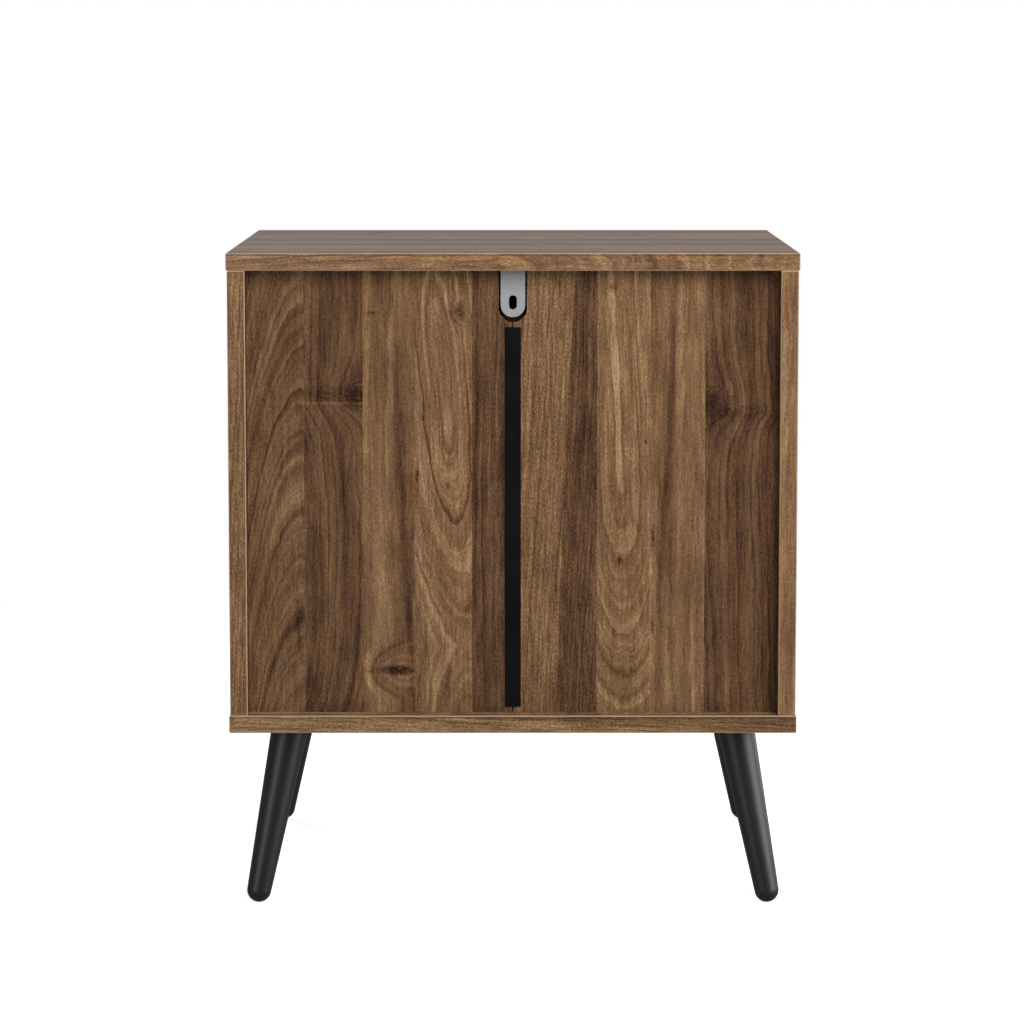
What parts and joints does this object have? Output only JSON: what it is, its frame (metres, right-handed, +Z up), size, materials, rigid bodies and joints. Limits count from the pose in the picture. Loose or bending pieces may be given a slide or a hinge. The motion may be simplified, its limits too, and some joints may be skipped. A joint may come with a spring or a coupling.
{
  "type": "nightstand",
  "caption": "Nightstand: board case with drawers on ball slides, splayed tapered legs, a split back with a joining strip, and a slotted tip-over bracket.",
  "frame": {"origin": "centre of the bounding box at floor level; the case itself is centred 12 mm behind it, because the knobs stand out in front", "axes": "+Z up, -Y towards the drawer fronts, +Y towards the back that the picture shows, +X to the right of someone who faces the drawers"},
  "size_m": [0.5, 0.414, 0.5815],
  "materials": {
    "walnut_board": "walnut-pattern laminate, satin",
    "walnut_back_board": "walnut-pattern laminate, satin",
    "walnut_drawer_front": "walnut-pattern laminate, satin",
    "drawer_box_board": "dark brown foil, matte",
    "black_leg_lacquer": "black lacquer, satin",
    "black_strip_plastic": "black, matte",
    "black_knob_metal": "black, satin",
    "grey_bracket_steel": "zinc plated, satin",
    "black_plate_steel": "black powder coat",
    "zinc_plated_slide": "zinc plated",
    "plated_fastener": "zinc plated",
    "zinc_cam": "die cast, dull",
    "polished_ball": "polished",
    "beech_dowel": "bare beech"
  },
  "bodies": {
    "case": {"top_panel": "walnut_board", "bottom_panel": "walnut_board", "left_side_panel": "walnut_board", "right_side_panel": "walnut_board", "left_back_panel": "walnut_back_board", "right_back_panel": "walnut_back_board", "back_joining_strip": "black_strip_plastic", "tip_over_bracket": "grey_bracket_steel", "bracket_screws": "plated_fastener", "case_dowels": "beech_dowel", "case_cam_bolts": "plated_fastener", "case_cam_locks": "zinc_cam", "front_left_leg": "black_leg_lacquer", "front_right_leg": "black_leg_lacquer", "rear_left_leg": "black_leg_lacquer", "rear_right_leg": "black_leg_lacquer", "front_left_leg_plate": "black_plate_steel", "front_right_leg_plate": "black_plate_steel", "rear_left_leg_plate": "black_plate_steel", "rear_right_leg_plate": "black_plate_steel", "leg_hanger_bolts": "plated_fastener", "leg_plate_screws": "plated_fastener", "upper_left_cabinet_slide": "zinc_plated_slide", "upper_right_cabinet_slide": "zinc_plated_slide", "lower_left_cabinet_slide": "zinc_plated_slide", "lower_right_cabinet_slide": "zinc_plated_slide", "cabinet_slide_screws": "plated_fastener"},
    "upper_drawer": {"upper_drawer_front": "walnut_drawer_front", "upper_drawer_left_side": "drawer_box_board", "upper_drawer_right_side": "drawer_box_board", "upper_drawer_back": "drawer_box_board", "upper_drawer_bottom": "drawer_box_board", "upper_drawer_knob": "black_knob_metal", "upper_drawer_knob_screw": "plated_fastener", "upper_drawer_left_slide": "zinc_plated_slide", "upper_drawer_right_slide": "zinc_plated_slide", "upper_drawer_slide_screws": "plated_fastener", "upper_drawer_cam_bolts": "plated_fastener", "upper_drawer_cam_locks": "zinc_cam", "upper_drawer_back_screws": "plated_fastener"},
    "upper_ball_cages": {"upper_left_ball_cage": "zinc_plated_slide", "upper_right_ball_cage": "zinc_plated_slide", "upper_slide_balls": "polished_ball"},
    "lower_drawer": {"lower_drawer_front": "walnut_drawer_front", "lower_drawer_left_side": "drawer_box_board", "lower_drawer_right_side": "drawer_box_board", "lower_drawer_back": "drawer_box_board", "lower_drawer_bottom": "drawer_box_board", "lower_drawer_knob": "black_knob_metal", "lower_drawer_knob_screw": "plated_fastener", "lower_drawer_left_slide": "zinc_plated_slide", "lower_drawer_right_slide": "zinc_plated_slide", "lower_drawer_slide_screws": "plated_fastener", "lower_drawer_cam_bolts": "plated_fastener", "lower_drawer_cam_locks": "zinc_cam", "lower_drawer_back_screws": "plated_fastener"},
    "lower_ball_cages": {"lower_left_ball_cage": "zinc_plated_slide", "lower_right_ball_cage": "zinc_plated_slide", "lower_slide_balls": "polished_ball"}
  },
  "joints": [
    {"name": "upper_drawer_slide", "type": "slide", "parent": "case", "child": "upper_drawer", "axis": [0, -1, 0], "range_m": [0, 0.21]},
    {"name": "upper_cage_slide", "type": "slide", "parent": "case", "child": "upper_ball_cages", "axis": [0, -1, 0], "range_m": [0, 0.105]},
    {"name": "lower_drawer_slide", "type": "slide", "parent": "case", "child": "lower_drawer", "axis": [0, -1, 0], "range_m": [0, 0.21]},
    {"name": "lower_cage_slide", "type": "slide", "parent": "case", "child": "lower_ball_cages", "axis": [0, -1, 0], "range_m": [0, 0.105]}
  ],
  "couplings": [
    {"joint": "upper_cage_slide", "follows": "upper_drawer_slide", "ratio": 0.5},
    {"joint": "lower_cage_slide", "follows": "lower_drawer_slide", "ratio": 0.5}
  ]
}
